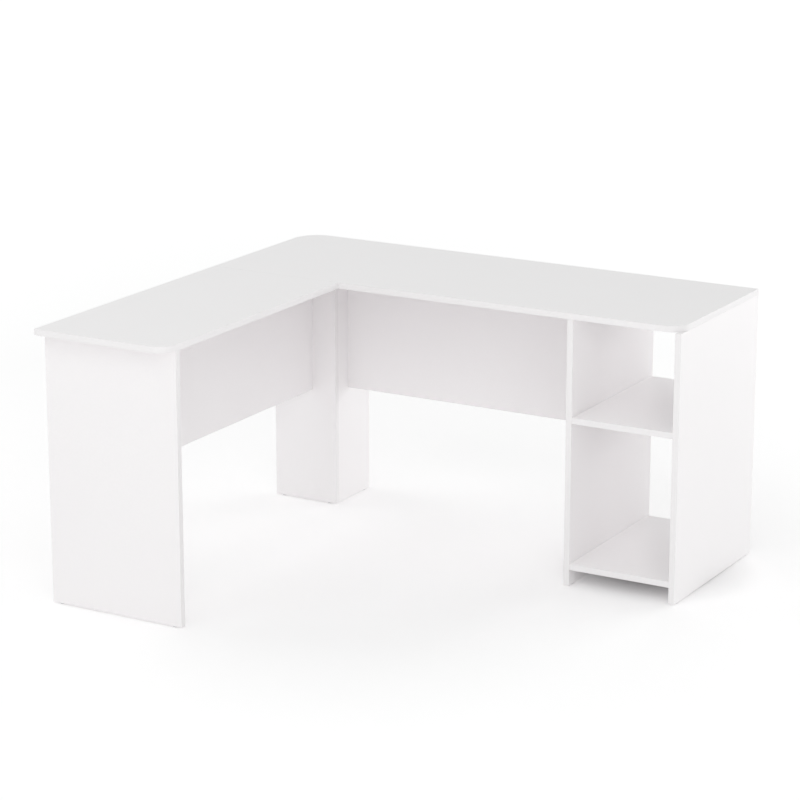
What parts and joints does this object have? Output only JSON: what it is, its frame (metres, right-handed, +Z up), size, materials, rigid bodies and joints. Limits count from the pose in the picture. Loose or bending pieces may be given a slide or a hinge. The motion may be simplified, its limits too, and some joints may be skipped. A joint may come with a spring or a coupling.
{
  "type": "corner desk",
  "caption": "White flat-pack corner desk: flush tops in an L, panel legs, modesty panels behind and an open shelf tower at the right end.",
  "frame": {"origin": "on the floor, under the middle of the desk's overall rectangle", "axes": "+X along the main wing towards the shelf tower, +Y towards the back (the wall side of the main wing), +Z up"},
  "size_m": [1.355, 1.265, 0.714],
  "materials": {
    "white_melamine": "satin melamine facing on particleboard",
    "edge_band": "satin",
    "white_plastic": "satin",
    "grey_plastic": "satin",
    "beech": "raw, fluted beech",
    "bright_steel": "zinc plated",
    "plated_steel": "zinc plated",
    "cast_zinc": "as cast, lightly tumbled"
  },
  "bodies": {
    "root": {"main_top": "white_melamine", "main_top_edge_band": "edge_band", "return_top": "white_melamine", "return_top_edge_band": "edge_band", "return_end_panel": "white_melamine", "return_end_panel_edge_band": "edge_band", "corner_post_front": "white_melamine", "corner_post_front_edge_band": "edge_band", "corner_post_side": "white_melamine", "corner_post_side_edge_band": "edge_band", "return_modesty_panel": "white_melamine", "return_modesty_panel_edge_band": "edge_band", "main_modesty_panel": "white_melamine", "main_modesty_panel_edge_band": "edge_band", "tower_inner_side": "white_melamine", "tower_inner_side_edge_band": "edge_band", "tower_outer_side": "white_melamine", "tower_outer_side_edge_band": "edge_band", "tower_middle_shelf": "white_melamine", "tower_middle_shelf_edge_band": "edge_band", "tower_bottom_shelf": "white_melamine", "tower_bottom_shelf_edge_band": "edge_band", "cam_bolts": "bright_steel", "cam_locks": "cast_zinc", "cam_covers": "white_plastic", "wood_dowels": "beech", "floor_glides": "grey_plastic", "seam_plates": "plated_steel", "angle_brackets": "plated_steel", "wood_screws": "bright_steel"}
  },
  "joints": []
}
